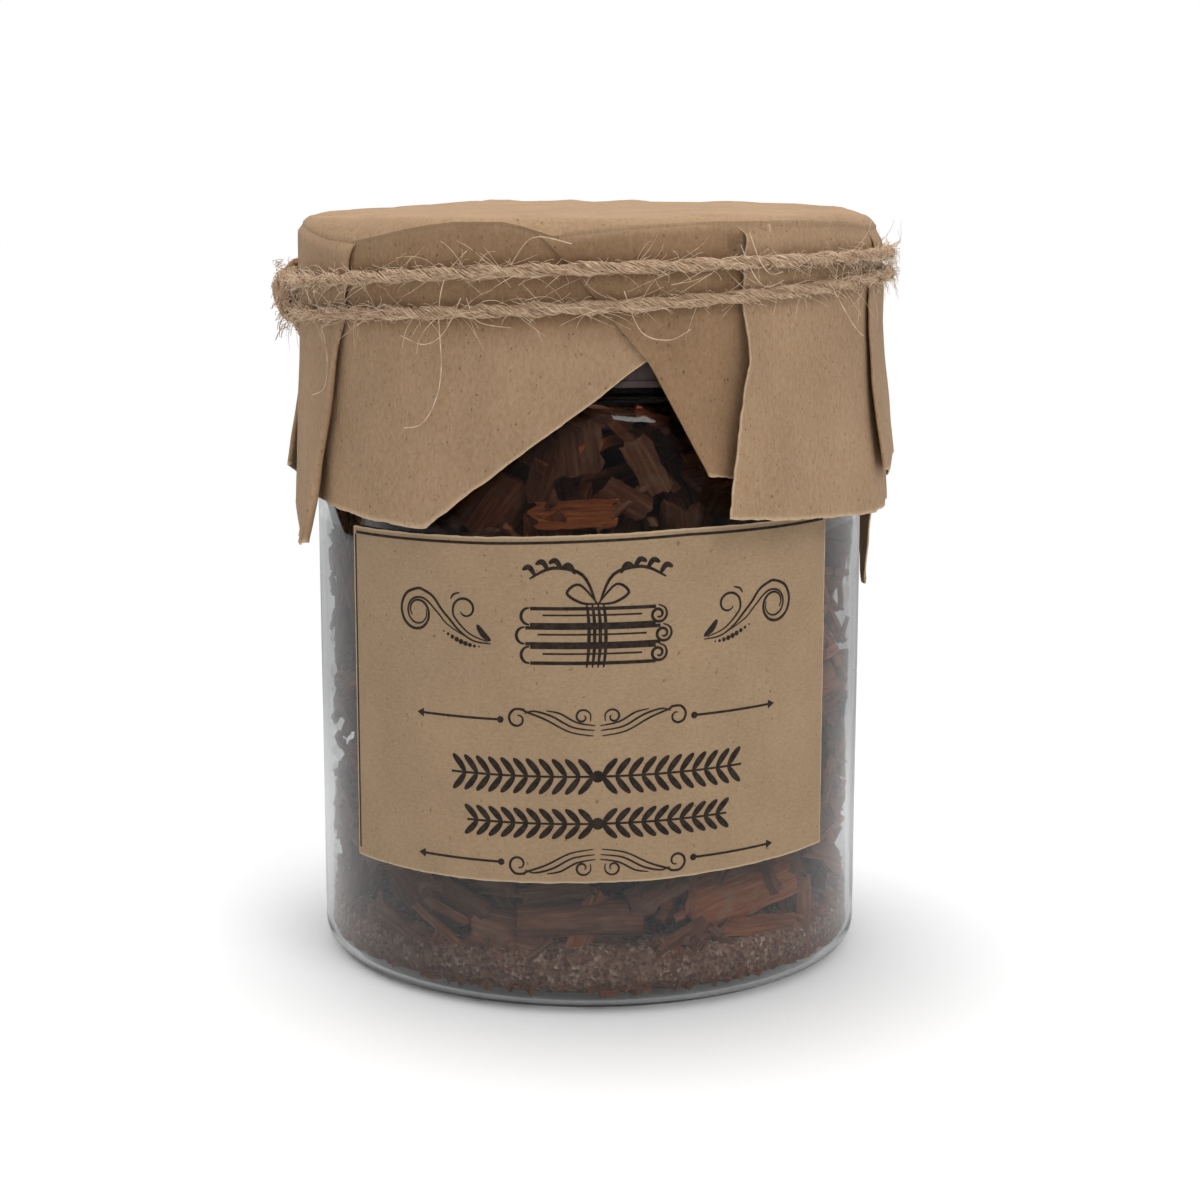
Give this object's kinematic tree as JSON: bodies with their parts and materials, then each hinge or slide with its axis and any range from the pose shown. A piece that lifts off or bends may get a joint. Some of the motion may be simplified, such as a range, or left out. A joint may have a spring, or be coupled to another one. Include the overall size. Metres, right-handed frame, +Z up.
{
  "type": "covered jar of cinnamon bark pieces",
  "caption": "Clear straight-sided screw jar filled with broken cinnamon bark, its lid covered with kraft paper tied by jute twine, with a plain kraft label.",
  "frame": {"origin": "middle of the jar's base, on the surface it stands on", "axes": "+Z up the jar, -Y out of the middle of the label, +X to the right of someone who faces the label"},
  "size_m": [0.095, 0.0936, 0.1156],
  "materials": {
    "jar": "gloss",
    "lid": "gloss",
    "bark": "matte",
    "kraft_cover": "matte",
    "kraft_label": "matte",
    "twine": "matte"
  },
  "bodies": {
    "root": {"jar": "jar", "lid": "lid", "bark_heap": "bark", "paper_cover": "kraft_cover", "twine_upper": "twine", "twine_lower": "twine", "knot": "twine", "label": "kraft_label"}
  },
  "joints": []
}
